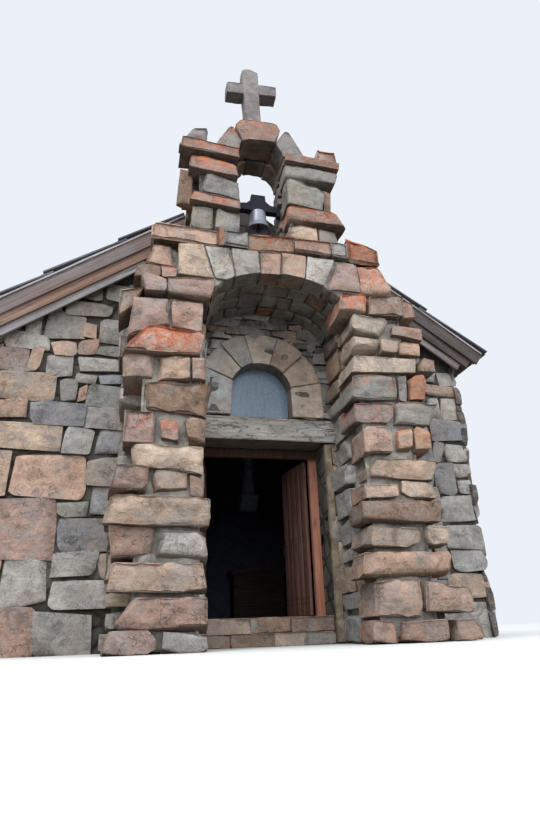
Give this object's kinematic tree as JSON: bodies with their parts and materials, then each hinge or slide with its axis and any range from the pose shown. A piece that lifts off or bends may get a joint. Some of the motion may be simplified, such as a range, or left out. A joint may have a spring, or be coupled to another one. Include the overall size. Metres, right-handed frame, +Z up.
{
  "type": "small mountain chapel",
  "caption": "Small rubble-stone chapel with a deep arched porch, an open bell gable topped by a cross, a steep boarded roof, a double door and a bell that swings.",
  "frame": {"origin": "on the ground, in the middle of the footprint's box", "axes": "+Z up, -Y out of the front of the building, +X to the right as seen from the front"},
  "size_m": [6.7, 6.98, 7.6034],
  "materials": {
    "rubble_stone": "rough coursed rubble, grey-green, with dark joints",
    "porch_stone": "rough pink and tan blocks with orange lichen",
    "dressed_stone": "dressed grey and beige stone",
    "weathered_timber": "weathered grey-brown boards and beams",
    "roof_boards": "dark grey weathered roofing boards",
    "door_timber": "red-brown weathered planks",
    "dark_iron": "dark rusty iron",
    "bell_bronze": "dull dark bronze",
    "window_glass": "cloudy blue-grey glass"
  },
  "bodies": {
    "chapel": {"floor_slab": "rubble_stone", "door_sill": "rubble_stone", "front_wall_left": "rubble_stone", "front_wall_right": "rubble_stone", "front_gable": "rubble_stone", "side_wall_left": "rubble_stone", "side_wall_right": "rubble_stone", "rear_wall": "rubble_stone", "door_lintel": "weathered_timber", "window_ring": "dressed_stone", "window_pane": "window_glass", "door_frame": "door_timber", "door_pintles": "dark_iron", "porch_pier_left": "porch_stone", "porch_pier_right": "porch_stone", "porch_arch": "dressed_stone", "porch_shoulder_left": "porch_stone", "porch_shoulder_right": "porch_stone", "coping": "porch_stone", "end_block": "porch_stone", "bell_pier_left": "porch_stone", "bell_pier_right": "porch_stone", "bell_arch": "dressed_stone", "cross": "dressed_stone", "bell_bearings": "dark_iron", "roofing_left": "roof_boards", "roofing_right": "roof_boards", "roof_deck_left": "weathered_timber", "roof_deck_right": "weathered_timber", "ridge_beam": "weathered_timber", "purlins": "weathered_timber", "wall_plates": "weathered_timber", "verge_boards_front": "weathered_timber", "verge_boards_rear": "weathered_timber", "ridge_cap": "roof_boards", "altar": "dressed_stone", "figure": "dressed_stone"},
    "left_door": {"door_leaf_left": "door_timber", "door_hinges_left": "dark_iron"},
    "right_door": {"door_leaf_right": "door_timber", "door_hinges_right": "dark_iron", "door_lock": "dark_iron"},
    "swinging_bell": {"bell_yoke": "dark_iron", "bell": "bell_bronze", "bell_clapper": "dark_iron"}
  },
  "joints": [
    {"name": "left_door_swing", "type": "hinge", "parent": "chapel", "child": "left_door", "pos_m": [-0.53, -1.952, 1.2], "axis": [0, 0, 1], "range_deg": [-80, 15]},
    {"name": "right_door_swing", "type": "hinge", "parent": "chapel", "child": "right_door", "pos_m": [0.87, -1.952, 1.2], "axis": [0, 0, -1], "range_deg": [-80, 15]},
    {"name": "bell_swing", "type": "hinge", "parent": "chapel", "child": "swinging_bell", "pos_m": [0.05, -3.1, 5.2], "axis": [1, 0, 0], "range_deg": [-35, 35]}
  ]
}
